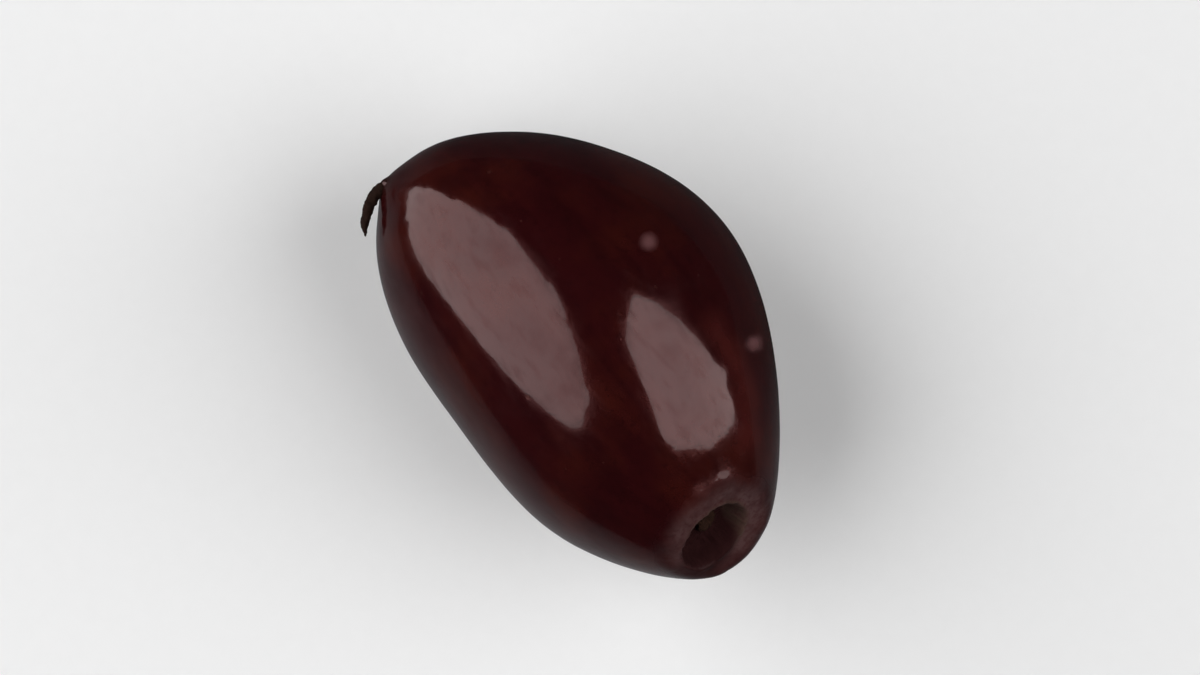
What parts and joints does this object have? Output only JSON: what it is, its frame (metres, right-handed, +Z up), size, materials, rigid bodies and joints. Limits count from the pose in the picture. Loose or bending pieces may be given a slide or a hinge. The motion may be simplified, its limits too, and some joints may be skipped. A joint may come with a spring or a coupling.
{
  "type": "olive",
  "caption": "Cured dark red-maroon table olive, almond-shaped, with a small pointed tip and an open stem cavity, lying on its side on a small flat spot.",
  "frame": {"origin": "on the ground, under the middle of the fruit's box", "axes": "+Z up; +X along the fruit from its pointed tip to its stem end; +Y towards its fuller side, the belly"},
  "size_m": [0.0266, 0.0172, 0.0165],
  "materials": {
    "skin": "wet gloss"
  },
  "bodies": {
    "root": {"olive": "skin"}
  },
  "joints": []
}
